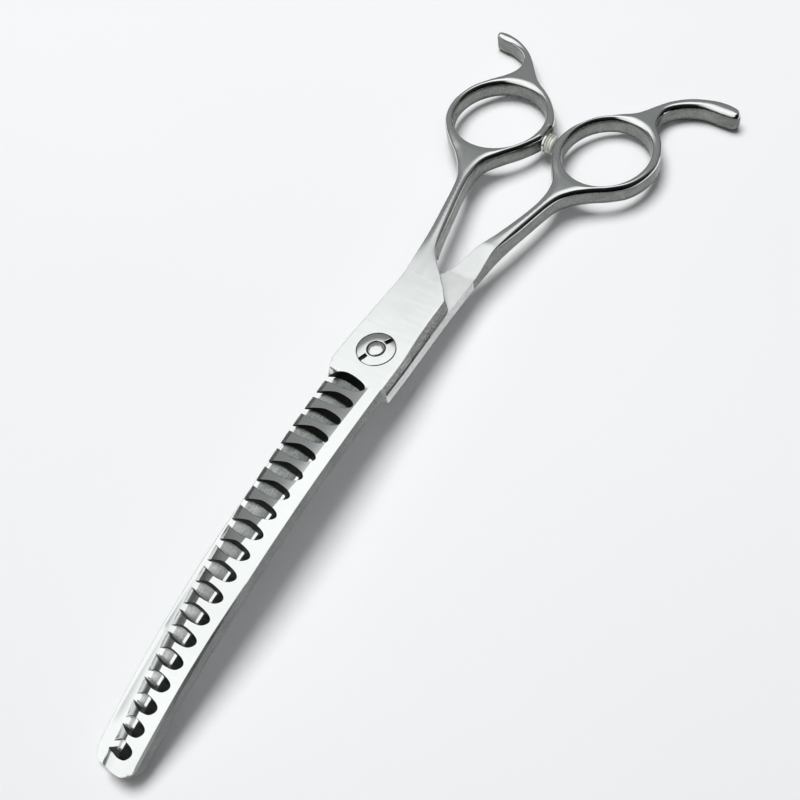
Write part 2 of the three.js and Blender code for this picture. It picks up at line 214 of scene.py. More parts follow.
def bowed(start, end, bow):
    """A blade's edge as a line with a bow, from its ends at the first and the last station."""
    def line(x):
        t = (np.asarray(x, float) - FIRST_STATION) / STATION_SPAN
        return start + (end - start) * t + bow * 4 * t * (1 - t)
    return line


comb_spine = bowed(7.1, 8.05, 0.42)
tooth_line = bowed(-6.1, -0.15, -0.2)
gap_root = bowed(4.0, 5.4, 0.85)
plain_spine = bowed(-5.1, -3.6, -0.1)
plain_edge = bowed(3.2, 1.9, 0.2)
SHOULDER_TEETH = np.array([
    [WELD, COMB_WELD_SIDES[1]], [-18, -6.75], [-11, -6.95], [0, -7.3], [6, -7.25], [HEEL, -6.45],
])
SHOULDER_SPINE = np.array([[WELD, COMB_WELD_SIDES[0]], [-18, 5.7], [-8, 6.1], [0, 6.9], [HEEL, 7.1]])
GRIND = np.array([[HEEL, 4.4], [34, 4.4], [60, 0.9], [COMB_END, 3.3]])
PLAIN_SHOULDER_SPINE = np.array([
    [PLAIN_WELD, PLAIN_WELD_SIDES[1]], [-22, -3.6], [-18, -6.2], [-8, -6.7], [4, -6.8], [8, -5.1],
])
PLAIN_SHOULDER_EDGE = np.array([
    [PLAIN_WELD, PLAIN_WELD_SIDES[0]], [-17, 7.0], [-9, 7.2], [0, 7.5], [7.5, 7.6],
])


# ---------------- outlines and their edge rounding
class Loop:
    """A closed outline with material on its left, and the rounding of its edges."""

    def __init__(self, points, inset, down, weld=None):
        self.points = np.asarray(points, float)
        ahead, behind = np.roll(self.points, -1, 0), np.roll(self.points, 1, 0)
        t1, t2 = ahead - self.points, self.points - behind
        t1 /= np.linalg.norm(t1, axis=1)[:, None]
        t2 /= np.linalg.norm(t2, axis=1)[:, None]
        t = t1 + t2
        t /= np.maximum(np.linalg.norm(t, axis=1), 1e-9)[:, None]
        self.out = np.stack([t[:, 1], -t[:, 0]], 1)
        count = len(self.points)
        self.inset = np.broadcast_to(np.asarray(inset, float), count).copy()
        self.down = np.broadcast_to(np.asarray(down, float), count).copy()
        self.foot = np.zeros((count, 2))
        if weld is not None:
            self.flatten_weld(weld)

    def flatten_weld(self, weld):
        """At the weld the outline is cut square: no rounding runs along the cut."""
        cut = np.abs(self.points[:, 0] - weld) < 1e-3
        low, high = self.points[cut, 1].min(), self.points[cut, 1].max()
        for k in np.flatnonzero(cut):
            y = self.points[k, 1]
            if y - low < 1e-6 or high - y < 1e-6:
                self.out[k] = (0, math.copysign(1, y - (low + high) / 2))
            else:
                self.inset[k] = 0.002
                self.down[k] = 0.002

    def ease(self, low, high, amount):
        """A softer edge on the parts between two stations that face -Y."""
        x = self.points[:, 0]
        share = np.clip(-4 * self.out[:, 1] - 2, 0, 1) * (x > low + 0.01) * (x < high)
        self.inset += amount * share
        self.down += amount * share

    def deepen(self, side, inset, down, weld):
        """More rounding on the edges that face one side, as the hand-finished rings have."""
        share = np.clip(self.out @ side, 0, 1) * shank_share(self.points[:, 0], weld)
        self.inset += inset * share
        self.down += down * share

    def at(self, turn):
        """The outline at an angle of the rounding: 0 is the lid's edge, 90 degrees the wall."""
        return self.points - self.out * (self.inset * (1 - math.sin(turn)))[:, None]


def inside(points, loops):
    """Even-odd test of points against closed outlines."""
    odd = np.zeros(len(points), bool)
    x, y = points[:, 0], points[:, 1]
    for loop in loops:
        for a, b in zip(loop, np.roll(loop, -1, 0)):
            if a[1] == b[1]:
                continue
            crosses = (a[1] > y) != (b[1] > y)
            odd ^= crosses & (x < a[0] + (b[0] - a[0]) * (y - a[1]) / (b[1] - a[1]))
    return odd


class Distance:
    """Distance from points to the nearest outline."""

    def __init__(self, loops):
        self.a = np.concatenate(loops)
        self.ab = np.concatenate([np.roll(loop, -1, 0) - loop for loop in loops])
        self.length2 = np.maximum((self.ab**2).sum(1), 1e-12)

    def __call__(self, points):
        out = np.empty(len(points))
        for k in range(0, len(points), 400):
            p = points[k : k + 400, None]
            t = np.clip(((p - self.a) * self.ab).sum(2) / self.length2, 0, 1)
            gap = p - self.a - self.ab * t[..., None]
            out[k : k + 400] = np.sqrt((gap**2).sum(2).min(1))
        return out


# ---------------- plates
TURNS = [math.radians(a) for a in (0, 14, 28, 42, 56, 72, 90)]
WALL_FROM = 4
CLEAR_OF_EDGE = 0.12
BORE_SIDES = 96


class Plate:
    """A mesh between a top and a bottom height function, with its own smooth normals."""

    def __init__(self, step=0.02):
        self.points, self.normals, self.faces, self.kinds = [], [], [], []
        self.count = 0
        self.step = step

    def ring(self, points, normals):
        self.points.append(points)
        self.normals.append(normals)
        first = self.count
        self.count += len(points)
        return np.arange(first, self.count)

    def bridge(self, upper, lower, kind=0):
        """Faces between two rings. The kind is the place of their material on the piece."""
        upper_next, lower_next = np.roll(upper, -1), np.roll(lower, -1)
        self.faces.extend(np.stack([upper, lower, lower_next, upper_next], 1).tolist())
        self.kinds.extend(np.broadcast_to(kind, len(upper)).tolist())

    def lid(self, rims, extra, height, facing, kind_at=None):
        """Fills between the rims, each a ring and its plan points, with extra points between them."""
        rings, loops = zip(*rims)
        space = Distance(loops)
        extra = extra[inside(extra, loops)]
        extra = extra[space(extra) > CLEAR_OF_EDGE] if len(extra) else extra
        plan = np.concatenate([*loops, extra])
        edges, start = [], 0
        for loop in loops:
            n = len(loop)
            edges += [(start + k, start + (k + 1) % n) for k in range(n)]
            start += n
        made = plane_geometry.delaunay_2d_cdt([Vector(p) for p in plan], edges, [], 0, 1e-6)
        where, triangles, source = np.array(made[0]), np.array(made[2]), made[3]
        slopes = facing * slope_normal(height, extra, self.step)
        inner = self.ring(np.column_stack([extra, height(extra)]), slopes)
        known = np.concatenate([*rings, inner])
        index = np.array([known[s[0]] if s else -1 for s in source])
        centre = where[triangles].mean(1)
        good = inside(centre, loops) & (index[triangles] >= 0).all(1)
        kept = index[triangles[good]]
        self.faces.extend((kept if facing > 0 else kept[:, ::-1]).tolist())
        self.kinds.extend((kind_at(centre[good]) if kind_at else np.zeros(len(kept), int)).tolist())

    def rounded(self, loop, height, facing):
        """Rings of an edge's rounding, from the lid's edge to the wall."""
        rings, plans = [], []
        for turn in TURNS:
            plan = loop.at(turn) + (loop.foot if facing < 0 else 0)
            z = height(plan) - facing * loop.down * (1 - math.cos(turn))
            if turn == 0:
                normals = facing * slope_normal(height, plan, self.step)
            else:
                flat = loop.out * (loop.down * math.sin(turn))[:, None]
                normals = np.column_stack([flat, facing * loop.inset * math.cos(turn)])
            rings.append(self.ring(np.column_stack([plan, z]), unit(normals)))
            plans.append(plan)
        return rings, plans[0]

    def build(self, name, bend=None):
        points = np.concatenate(self.points)
        normals = unit(np.concatenate(self.normals))
        if bend:
            ahead = bend(points + normals * 0.01)
            points = bend(points)
            normals = unit(ahead - points)
        mesh = bpy.data.meshes.new(name)
        mesh.from_pydata(to_row(points).tolist(), [], self.faces)
        smooth(mesh)
        mesh.polygons.foreach_set("material_index", self.kinds)
        mesh.validate()
        mesh.normals_split_custom_set_from_vertices((normals @ AXES).tolist())
        mesh.update()
        return linked(name, mesh)


def linked(name, data):
    """A new object in the scene."""
    thing = bpy.data.objects.new(name, data)
    bpy.context.scene.collection.objects.link(thing)
    return thing


def smooth(mesh):
    mesh.polygons.foreach_set("use_smooth", [True] * len(mesh.polygons))


def unit(v):
    """Vectors made one long."""
    return v / np.maximum(np.linalg.norm(v, axis=1), 1e-12)[:, None]


def slope_normal(height, plan, h=0.02):
    """Normals of a height function."""
    if not len(plan):
        return np.zeros((0, 3))
    dx = (height(plan + [h, 0]) - height(plan - [h, 0])) / (2 * h)
    dy = (height(plan + [0, h]) - height(plan - [0, h])) / (2 * h)
    return unit(np.column_stack([-dx, -dy, np.ones(len(plan))]))


def grid(x0, x1, y0, y1, spacing):
    """Points in rows that are shifted against each other."""
    x, y = np.meshgrid(np.arange(x0, x1, spacing), np.arange(y0, y1, spacing))
    x = x + (np.arange(x.shape[0]) % 2)[:, None] * spacing / 2
    return np.stack([x.ravel(), y.ravel()], 1)


def plate(name, loops, top, bottom, extra, bend=None, bores=(), step=0.02, wall_kind=None, top_kind=None):
    """A plate from its outlines. Each bore is a list of steps of one round hole."""
    made = Plate(step)
    upper, lower = [], []
    for loop in loops:
        kinds = wall_kind(loop.points) if wall_kind else np.ones(len(loop.points), int)
        rings, plan = made.rounded(loop, top, 1)
        # From the ring WALL_FROM on, the rounding takes the wall's material. Kinds above 1, the gaps'
        # painted shade, cover all of it.
        for number, (a, b) in enumerate(zip(rings, rings[1:])):
            made.bridge(a, b, kinds if number >= WALL_FROM else np.where(kinds > 1, kinds, 0))
        below, below_plan = made.rounded(loop, bottom, -1)
        made.bridge(rings[-1], below[-1], kinds)
        # All of the rounding underneath takes the wall's material as well, so the handles' painted shade
        # covers their lower edges.
        for a, b in zip(below[::-1], below[::-1][1:]):
            made.bridge(a, b, kinds)
        upper.append((rings[0], plan))
        lower.append((below[0], below_plan))
    for steps in bores:
        first, last = bore(made, steps)
        upper.append(first)
        lower.append(last)
    made.lid(upper, extra, top, 1, top_kind)
    made.lid(lower, extra, bottom, -1)
    return made.build(name, bend)


def bore(made, steps):
    """Stepped round hole about the pivot from steps of (radius, height), top first."""
    turn = -np.arange(BORE_SIDES) * 2 * math.pi / BORE_SIDES
    way = np.stack([np.cos(turn), np.sin(turn)], 1)

    def ring(radius, height, normals):
        return made.ring(np.column_stack([way * radius, np.full(BORE_SIDES, height)]), normals)

    for start, end in zip(steps, steps[1:]):
        along = np.array(end, float) - start
        along /= np.linalg.norm(along)
        normals = np.column_stack([way * along[1], np.full(BORE_SIDES, -along[0])])
        made.bridge(ring(*start, normals), ring(*end, normals))
    upright = np.column_stack([np.zeros((BORE_SIDES, 2)), np.ones(BORE_SIDES)])
    ends = ((steps[0], upright), (steps[-1], -upright))
    return [(ring(*step, normals), way * step[0]) for step, normals in ends]


# ---------------- comb blade
def comb_high(x):
    """Spine side of the comb blade, with its round nose."""
    high = np.where(x < HEEL, np.interp(x, *SHOULDER_SPINE.T), comb_spine(x))
    turn = np.arcsin(np.clip((x - COMB_NOSE) / COMB_NOSE_LENGTH, 0, 1))
    return high - COMB_NOSE_DROP * (1 - np.cos(turn))


def gap_line(number):
    """Outline of one gap from the pivot-side tooth tip round its root to the next tip."""
    x = FIRST_GAP + PITCH * number
    root = gap_root(x)
    depth = root - tooth_line(x)
    lean = 0.6 + 0.006 * (number - 7) ** 2
    inward = 1.4 - 0.02 * number
    outward = 1.8 + 0.025 * number
    side = spline([
        [lean - GAP_HALF_MOUTH, -depth],
        [-0.72 * inward, -0.7 * depth],
        [-inward, -0.47 * depth],
        [-0.55 * inward, -0.12 * depth],
        [0.35, 0],
        [0.8 * outward, -0.13 * depth],
        [outward, -0.38 * depth],
        [0.95 * outward, -0.66 * depth],
        [lean + GAP_HALF_MOUTH, -depth],
    ])
    foot = arched([[x, 0, HALF / 2]])[0][0]
    return spaced(side + [x, root], GAP_STEP) * [1, x / foot]


def comb_outline():
    teeth_side = [spaced(SHOULDER_TEETH, OUTLINE_STEP)]
    for number in range(TEETH):
        teeth_side.append(gap_line(number))
    tip = tooth_line(98.5)
    nose = np.array([[98.5, tip], [COMB_END, tip + 0.3], [COMB_END, 4.4]])
    x = COMB_NOSE + COMB_NOSE_LENGTH * np.sin(np.linspace(math.pi / 2, 0, 14))
    corner = np.stack([x, comb_high(x)], 1)
    back = np.arange(94.8, HEEL, -OUTLINE_STEP)
    spine = np.stack([back, comb_spine(back)], 1)
    shoulder = spaced(SHOULDER_SPINE[::-1], OUTLINE_STEP)
    weld = spaced([[WELD, side] for side in COMB_WELD_SIDES], WELD_STEP)
    return joined(*teeth_side, spaced(nose, 0.4), corner, spine, shoulder, weld)


def comb_chamfer(x):
    """Width of the chamfer along the spine, which grows towards the tip."""
    return CHAMFER_NARROW + CHAMFER_GROWTH * smoothstep(x, 48, 78) * (1 - smoothstep(x, 95, 97.5))


def comb_wall(points):
    """Material of the walls: the gaps get near-black painted shade, the rest is brushed."""
    x, y = points[:, 0], points[:, 1]
    in_gap = (x > 5.5) & (x < COMB_END - 0.6) & (y < gap_root(x) + 0.2) & ((x > HEEL) | (y > -6.2))
    return np.where(in_gap, 2, 1)


def gap_scoop(points, out):
    """How far the foot of each wall is shifted: in at the gaps, out along the spine."""
    x, y = points[:, 0], points[:, 1]
    root, low = gap_root(x), tooth_line(x)
    share = np.where(comb_wall(points) == 2, (y - low) / (root - low), 0)
    inward = np.where(share > 0, np.maximum(y - plain_edge(x) - SCOOP_LAP, 0), 0)
    sideways = SIDE_SCOOP * np.clip(out[:, 0], 0, 1) * smoothstep(share, 0.1, 0.6)
    shoulder = np.interp(x, *PLAIN_SHOULDER_EDGE.T) - y - SHOULDER_STEP
    flare = np.where(x < 7.5, np.maximum(shoulder, 0) * smoothstep(x, -20.5, -16.5), SPINE_FLARE)
    flare = flare * np.clip(out[:, 1], 0, 1) * (share == 0) * (y > 3)
    return np.stack([sideways, flare - inward], 1)


def comb_top(plan):
    """Height of the comb blade: flat, ground down towards the teeth, with a chamfer along the spine."""
    x, y = plan[:, 0], plan[:, 1]
    top = HALF - COMB_TAPER * np.maximum(0, x - HEEL) / (COMB_END - HEEL)
    chamfer = comb_chamfer(x)
    past_corner = smoothstep(x, WELD + 4, WELD + 8)
    edge = CHAMFER_SLOPE * np.maximum(0, chamfer - (comb_high(x) - y)) * past_corner
    grind = np.interp(x, *GRIND.T)
    low = tooth_line(x)
    share = np.clip((grind - y) / (grind - low), 0, 1)
    ground = smoothstep(x, HEEL, HEEL + 1.5) * (1 - 0.6 * smoothstep(x, 93, 96.5))
    fall = (top - TIP_THICKNESS) * share * (0.72 + 0.28 * share)
    facet = TIP_FACET_DROP * np.clip(1 - (y - low) / TIP_FACET, 0, 1)
    return top - edge - ground * (fall + facet)


def flat_at(level):
    return lambda plan: np.full(len(plan), level)


def rows_along(line, x0, x1, spacing, offsets):
    """Rows of points beside a line, so that faces meet along it."""
    x = np.arange(x0, x1, spacing)
    return np.concatenate([np.stack([x, line(x) + d], 1) for d in offsets])


def comb_blade():
    outer = Loop(comb_outline(), BLADE_EDGE, BLADE_EDGE, WELD)
    outer.ease(WELD, HEEL - 0.6, EASED_EDGE)
    outer.foot = gap_scoop(outer.points, outer.out)
    bore_steps = [(SEAT_RADIUS, HALF), (SEAT_RADIUS, SEAT_FLOOR), (BUSH_BORE, SEAT_FLOOR), (BUSH_BORE, RIDE)]
    crease = lambda x: np.interp(x, *GRIND.T)
    chamfer = lambda x: comb_high(x) - comb_chamfer(x)
    tips = lambda x: tooth_line(x) + TIP_FACET
    extra = np.concatenate([
        grid(WELD, COMB_END, -7.4, 8.6, PLATE_GRID),
        grid(HEEL - 0.4, HEEL + 2.4, -6.6, 4.6, HEEL_GRID),
        rows_along(crease, HEEL + 0.5, COMB_END, ROW_STEP, (-0.06, 0.06)),
        rows_along(chamfer, HEEL + 0.5, COMB_END - 0.5, ROW_STEP, (-0.05, 0.05)),
        rows_along(tips, HEEL + 0.5, COMB_END, ROW_STEP, (-0.06, 0.06)),
    ])
    return plate(
        "comb_blade_steel", [outer], comb_top, flat_at(RIDE), extra, arched, [bore_steps],
        wall_kind=comb_wall,
    )


# ---------------- plain blade
def plain_low(x):
    """Spine side of the plain blade, with its round nose."""
    low = np.where(x < 8, np.interp(x, *PLAIN_SHOULDER_SPINE.T), plain_spine(x))
    turn = np.arcsin(np.clip((x - PLAIN_NOSE) / PLAIN_NOSE_LENGTH, 0, 1))
    return low + PLAIN_NOSE_DROP * (1 - np.cos(turn))


def plain_outline():
    shoulder = spaced(PLAIN_SHOULDER_SPINE, OUTLINE_STEP)
    x = np.arange(8.7, PLAIN_NOSE, OUTLINE_STEP)
    spine = np.stack([x, plain_spine(x)], 1)
    x = PLAIN_NOSE + PLAIN_NOSE_LENGTH * np.sin(np.linspace(0, math.pi / 2, 14))
    nose = np.stack([x, plain_low(x)], 1)
    end = np.array([[PLAIN_END, 1.4], [PLAIN_END - 0.3, float(plain_edge(PLAIN_END))]])
    x = np.arange(98.8, 8.5, -OUTLINE_STEP)
    edge = np.stack([x, plain_edge(x)], 1)
    back = spaced(PLAIN_SHOULDER_EDGE[::-1], OUTLINE_STEP)
    notch = spaced([edge[-1], [8.1, 4.2], [7.7, 7.3], back[0]], NOTCH_STEP)
    weld = spaced([[PLAIN_WELD, side] for side in PLAIN_WELD_SIDES], WELD_STEP)
    return joined(shoulder, spine, nose, spaced(end, NOTCH_STEP), edge, notch, back, weld)


def plain_top(plan):
    """Height of the plain blade's inner face, hollow between its spine and its ride line."""
    x, y = plan[:, 0], plan[:, 1]
    low, high = plain_low(x), plain_edge(x)
    share = np.clip((y - low - RIDE_LINE) / np.maximum(high - low - 2 * RIDE_LINE, 1), 0, 1)
    depth = HOLLOW_DEPTH * smoothstep(x, 8.2, 10) * (1 - smoothstep(x, 88, 95))
    return -RIDE - depth * 4 * share * (1 - share)


def hollow_side(x):
    """Where the hollow's own material starts, with its finish and its painted reflection, beside the tips of
    the teeth.
    """
    return np.maximum(plain_low(x) + 0.3, tooth_line(x) + 0.8)


def plain_top_kind(plan):
    """The hollow beside the ride line and the flat behind the pivot have materials of their own: the
    hollow's finish with painted reflection towards the tip, and a patchy flat painted lighter.
    """
    x, y = plan[:, 0], plan[:, 1]
    along = (x > HOLLOW_ENDS[0]) & (x < HOLLOW_ENDS[1])
    hollow = along & (y > hollow_side(x)) & (y < plain_edge(x) - RIDE_LINE)
    return np.where(hollow, 2, np.where(x < FLAT_END, 3, 0))


def plain_bottom(plan):
    """Height of the plain blade's outer face, with the bevel of its cutting edge."""
    x, y = plan[:, 0], plan[:, 1]
    thickness = HALF - PLAIN_TAPER * np.maximum(0, x) / PLAIN_END
    bevel = np.clip((y - plain_edge(x) + BEVEL) / BEVEL, 0, 1) * smoothstep(x, 7.5, 9)
    return -thickness + bevel * (thickness - BEVEL_EDGE)


def plain_blade():
    outer = Loop(plain_outline(), BLADE_EDGE, BLADE_EDGE, PLAIN_WELD)
    outer.ease(PLAIN_WELD, PLAIN_END, EASED_EDGE)
    hole = SCREW_RADIUS + 0.05
    steps = [(POCKET, -RIDE), (POCKET, POCKET_FLOOR), (hole, POCKET_FLOOR), (hole, RECESS_FLOOR)]
    steps += [(RECESS, RECESS_FLOOR), (RECESS, -HALF)]
    ride = lambda x: plain_edge(x) - RIDE_LINE
    bevel = lambda x: plain_edge(x) - BEVEL
    extra = np.concatenate([
        grid(PLAIN_WELD, PLAIN_END, -7, 8, PLATE_GRID),
        rows_along(ride, HOLLOW_ENDS[0], PLAIN_END - 3, ROW_STEP / 2, (-0.13, 0, 0.13)),
        rows_along(hollow_side, HOLLOW_ENDS[0], PLAIN_END - 3, ROW_STEP / 2, (-0.13, 0, 0.13)),
        rows_along(bevel, 9, PLAIN_END - 0.5, ROW_STEP, (-0.05, 0.05)),
    ])
    return plate(
        "plain_blade_steel", [outer], plain_top, plain_bottom, extra, arched, [steps],
        top_kind=plain_top_kind,
    )


# ---------------- handles
COMB_INNER = [
    [WELD, COMB_WELD_SIDES[0]], [-24, 0.6], [-27.3, -2.5], [-31, -4.8], [-38.9, -6.8], [-48.7, -9.2],
    [-53.8, -10], [-58.6, -9.6], [-62.6, -7.1], [-66.7, -3.9], [-71.2, -1.3], [-74.3, -0.5], [-77.9, -1.2],
]
COMB_REST = [
    [-80.7, -2.8], [-83.9, -5.6], [-86.4, -8.6], [-89.1, -12.3], [-95.2, -17.6], [-98.2, -21],
    [-100.3, -24.8], [-101.3, -28.5], [-101, -30.9], [-99.6, -30.9], [-98.9, -28.6], [-98.5, -25.6],
    [-97, -22.2], [-94.6, -19.9], [-91.8, -19.3], [-89.4, -19.8],
]
COMB_OUTER = [
    [-86.9, -21.4], [-83.9, -24], [-79.7, -26.7], [-73.9, -27.9], [-68.6, -26.9], [-64.4, -24.1],
    [-60.6, -20.3], [-58.2, -17.6], [-54.4, -14.5], [-50, -12.3], [-40.2, -10.2], [-30.8, -8.3],
    [WELD, COMB_WELD_SIDES[1]],
]
PLAIN_INNER = [
    [PLAIN_WELD, PLAIN_WELD_SIDES[1]], [-30.5, 1.7], [-38.3, 4.6], [-44.1, 6.3], [-50.1, 7.9],
    [-55, 8.6], [-59, 8.3], [-61.6, 7.3], [-65.9, 4.5], [-70, 2.8], [-73, 2.2], [-76.3, 2.6],
]
PLAIN_REST = [
    [-79.8, 4], [-83.9, 7.1], [-86.9, 11.1], [-89.4, 14.9], [-93.5, 17.9], [-96.8, 20.7], [-99.5, 24.9],
    [-101, 30.4], [-100.6, 34.9], [-99, 36.7], [-97.6, 36], [-97.5, 33], [-97.6, 28.6], [-96.1, 24.4],
    [-93.6, 21.4], [-90.9, 20.4],
]
PLAIN_OUTER = [
    [-87.8, 20.9], [-85.8, 22.2], [-83, 24.5], [-79.4, 26.3], [-75.4, 27.3], [-70.9, 26.8],
    [-66.8, 24.9], [-63.7, 21.5], [-61.2, 17.5], [-58.4, 14.1], [-54.5, 11.8], [-44.6, 9.6],
    [-35.3, 7.6], [PLAIN_WELD, PLAIN_WELD_SIDES[0]],
]
COMB_HOLE = (-74.13, -14.66, 11.55, 11.3)
PLAIN_HOLE = (-74.23, 14.72, 11.25, 10.15)


def shank_share(x, weld):
    """0 at the weld and 1 along the shank and the ring."""
    return 1 - smoothstep(x, weld - 18, weld - 3)


def handle_outline(points, weld):
    line = spaced(spline(points), HANDLE_OUTLINE_STEP)
    line[0] = points[0]
    line[-1] = points[-1]
    area = np.sum(line[:, 0] * np.roll(line[:, 1], -1) - np.roll(line[:, 0], -1) * line[:, 1])
    if area < 0:
        line = line[::-1]
    weld_line = spaced([line[-1], line[0]], WELD_STEP)
    return joined(line, weld_line)


def hole_outline(hole):
    x, y, half_length, half_width = hole
    turn = -np.linspace(0, 2 * math.pi, 241)[:-1]
    return np.stack([x + half_length * np.cos(turn), y + half_width * np.sin(turn)], 1)


def handle(name, points, hole, weld, top_base, bottom_base, seat=None):
    """Shank, finger ring and finger rest as one plate with a crowned, rounded section."""
    outline = handle_outline(points, weld)
    if seat is not None:
        outline = seat(outline)
    share = shank_share(outline[:, 0], weld)
    inset = WELD_EDGE + (ROUND_IN - WELD_EDGE) * share
    down = WELD_EDGE + (ROUND_DOWN - WELD_EDGE) * share
    outer = Loop(outline, inset, down, weld)
    rim = Loop(hole_outline(hole), ROUND_IN, ROUND_DOWN)
    for loop in (outer, rim):
        loop.deepen(DEEP_SIDE, DEEP_IN, DEEP_DOWN, weld)
    distance = Distance([outer.points, rim.points])

    def crown(plan):
        away = np.clip(1 - distance(plan) / CROWN_REACH, 0, 1)
        return CROWN_DROP * away**2 * shank_share(plan[:, 0], weld)

    top = lambda plan: top_base(plan) - crown(plan)
    bottom = lambda plan: bottom_base(plan) + crown(plan)
    low, high = outline.min(0), outline.max(0)
    extra = grid(low[0], high[0], low[1], high[1], HANDLE_GRID)
    return plate(name, [outer, rim], top, bottom, extra, step=HANDLE_SLOPE_STEP)


def comb_handle():
    def bottom(plan):
        return -HALF + (HALF + RIDE) * smoothstep(plan[:, 0], *COMB_TANG)

    def seat(outline):
        """Flattens the ring under the bumper."""
        raised = np.maximum(outline[:, 1] - BUMPER_FOOT, 0) * (outline[:, 1] < 1)
        share = 1 - smoothstep(np.abs(outline[:, 0] - BUMPER_X), *SEAT_REACH)
        outline[:, 1] -= raised * share
        return outline

    points = [*COMB_INNER, *COMB_REST, *COMB_OUTER]
    return handle("comb_handle_steel", points, COMB_HOLE, WELD, flat_at(HALF), bottom, seat)


def plain_handle():
    def top(plan):
        return HALF - (HALF + RIDE) * smoothstep(plan[:, 0], PLAIN_RAMP, PLAIN_WELD)

    points = [*PLAIN_INNER, *PLAIN_REST, *PLAIN_OUTER]
    return handle("plain_handle_steel", points, PLAIN_HOLE, PLAIN_WELD, top, flat_at(-HALF))


# ---------------- turned pieces
def softened(profile, radius, steps=3):
    """A turned profile with its corners rounded."""
    p = np.asarray(profile, float)
    out = [p[0]]
    for a, b, c in zip(p, p[1:], p[2:]):
        la, lc = np.linalg.norm(a - b), np.linalg.norm(c - b)
        r = min(radius, la * 0.45, lc * 0.45)
        start, end = b + (a - b) / la * r, b + (c - b) / lc * r
        for t in np.linspace(0, 1, steps + 1):
            out.append((1 - t) ** 2 * start + 2 * t * (1 - t) * b + t * t * end)
    out.append(p[-1])
    return np.array(out)


def turned(name, profile, radius, sides=128, along_y=False):
    """A lathe piece about the pivot, or about the bumper's axis, from its (radius, height) profile."""
    p = softened(profile, radius)
    turn = np.arange(sides) * 2 * math.pi / sides
    height = np.broadcast_to(p[:, None, 1], (len(p), sides))
    points = np.stack([p[:, None, 0] * np.cos(turn), p[:, None, 0] * np.sin(turn), height], 2).reshape(-1, 3)
    faces = []
    for j in range(len(p) - 1):
        for k in range(sides):
            a, b = j * sides + k, j * sides + (k + 1) % sides
            faces.append((a, b, b + sides, a + sides))
    if along_y:
        points = np.stack([points[:, 0] + BUMPER_X, points[:, 2], -points[:, 1]], 1)
    return solid_object(name, points, faces)


def solid_object(name, points, faces):
    mesh = bpy.data.meshes.new(name)
    mesh.from_pydata(to_row(points).tolist(), [], faces)
    mesh.validate()
    thing = linked(name, mesh)
    clean(thing)
    return thing


def clean(thing):
    """Merges double points, and gives the piece outward and smooth normals."""
    work = bmesh.new()
    work.from_mesh(thing.data)
    bmesh.ops.remove_doubles(work, verts=work.verts, dist=1e-7)
    bmesh.ops.recalc_face_normals(work, faces=work.faces)
    work.to_mesh(thing.data)
    work.free()
    smooth(thing.data)
    thing.data.set_sharp_from_angle(angle=math.radians(40))


def pivot_screw():
    return turned("pivot_screw_steel", [
        [0, -HALF - 0.25], [2.2, -HALF - 0.2], [3.9, -HALF + 0.05], [HEAD_RADIUS, -HALF + 0.35],
        [HEAD_RADIUS, -HALF + 0.9], [SCREW_RADIUS, -HALF + 0.9], [SCREW_RADIUS, SEAT_FLOOR - 0.1],
        [STUD_RADIUS, SEAT_FLOOR + 0.1], [STUD_RADIUS, 2.8], [1.7, 2.98], [1.2, 3.1], [0.6, 3.16], [0, 3.18],
    ], 0.06)


def tension_nut():
    low = SEAT_FLOOR + 0.56
    high = low + 1
    disc = turned("tension_nut_steel", [
        [NUT_BORE, low], [NUT_RADIUS - 0.1, low], [NUT_RADIUS, low + 0.1], [NUT_RADIUS, high - 0.35],
        [NUT_RADIUS - 0.12, high - NUT_CONE], [NUT_BORE + 0.1, high], [NUT_BORE, high - 0.1],
        [NUT_BORE, low],
    ], 0.04)
    for way in (SLOT_WAY, SLOT_WAY + 180):
        cutter = slot_cutter(way, high)
        cut = disc.modifiers.new("slot", "BOOLEAN")
        cut.operation = "DIFFERENCE"
        cut.object = cutter
        apply_modifiers(disc)
        bpy.data.objects.remove(cutter)
    soft = disc.modifiers.new("soft", "BEVEL")
    soft.width = 0.00005
    soft.segments = 2
    soft.limit_method = "ANGLE"
    soft.angle_limit = math.radians(50)
    apply_modifiers(disc)
    clean(disc)
    mark_slots(disc, high)
    return disc


def mark_slots(disc, high):
    """Faces sunk below the cone of the nut, inside a slot, take the second material: the slots' near-black
    painted shade.
    """
    for face in disc.data.polygons:
        x, y, z = (np.array(face.center) - PIVOT) @ AXES.T * 1000
        radius = math.hypot(x, y)
        cone = high - NUT_CONE * (radius - NUT_BORE - 0.1) / (NUT_RADIUS - NUT_BORE - 0.22)
        turn = math.radians(SLOT_WAY)
        across = abs(y * math.cos(turn) - x * math.sin(turn))
        sunk = high - SLOT_DEPTH - 0.1 < z < cone - 0.03
        in_slot = across < SLOT_HALF + 0.02 and radius > SLOT_INNER - 0.15 and sunk
        face.material_index = 1 if in_slot else 0


def slot_cutter(way, high):
    """Prism of one spanner slot, from the boss in the middle out past the rim."""
    turn = math.radians(way)
    across = np.linspace(-SLOT_HALF, SLOT_HALF, 7)
    inner = np.stack([np.sqrt(SLOT_INNER**2 - across**2), across], 1)
    outline = np.concatenate([inner, [[SLOT_OUTER, SLOT_HALF], [SLOT_OUTER, -SLOT_HALF]]])
    c, s = math.cos(turn), math.sin(turn)
    outline = outline @ np.array([[c, s], [-s, c]])
    n = len(outline)
    points = [[*p, z] for z in (high - SLOT_DEPTH, high + 1) for p in outline]
    faces = [list(range(n))[::-1], list(range(n, 2 * n))]
    faces += [[k, (k + 1) % n, n + (k + 1) % n, n + k] for k in range(n)]
    return solid_object("slot_cutter", points, faces)


def apply_modifiers(thing):
    """Makes the modifiers part of the mesh."""
    graph = bpy.context.evaluated_depsgraph_get()
    mesh = bpy.data.meshes.new_from_object(thing.evaluated_get(graph))
    thing.modifiers.clear()
    thing.data = mesh


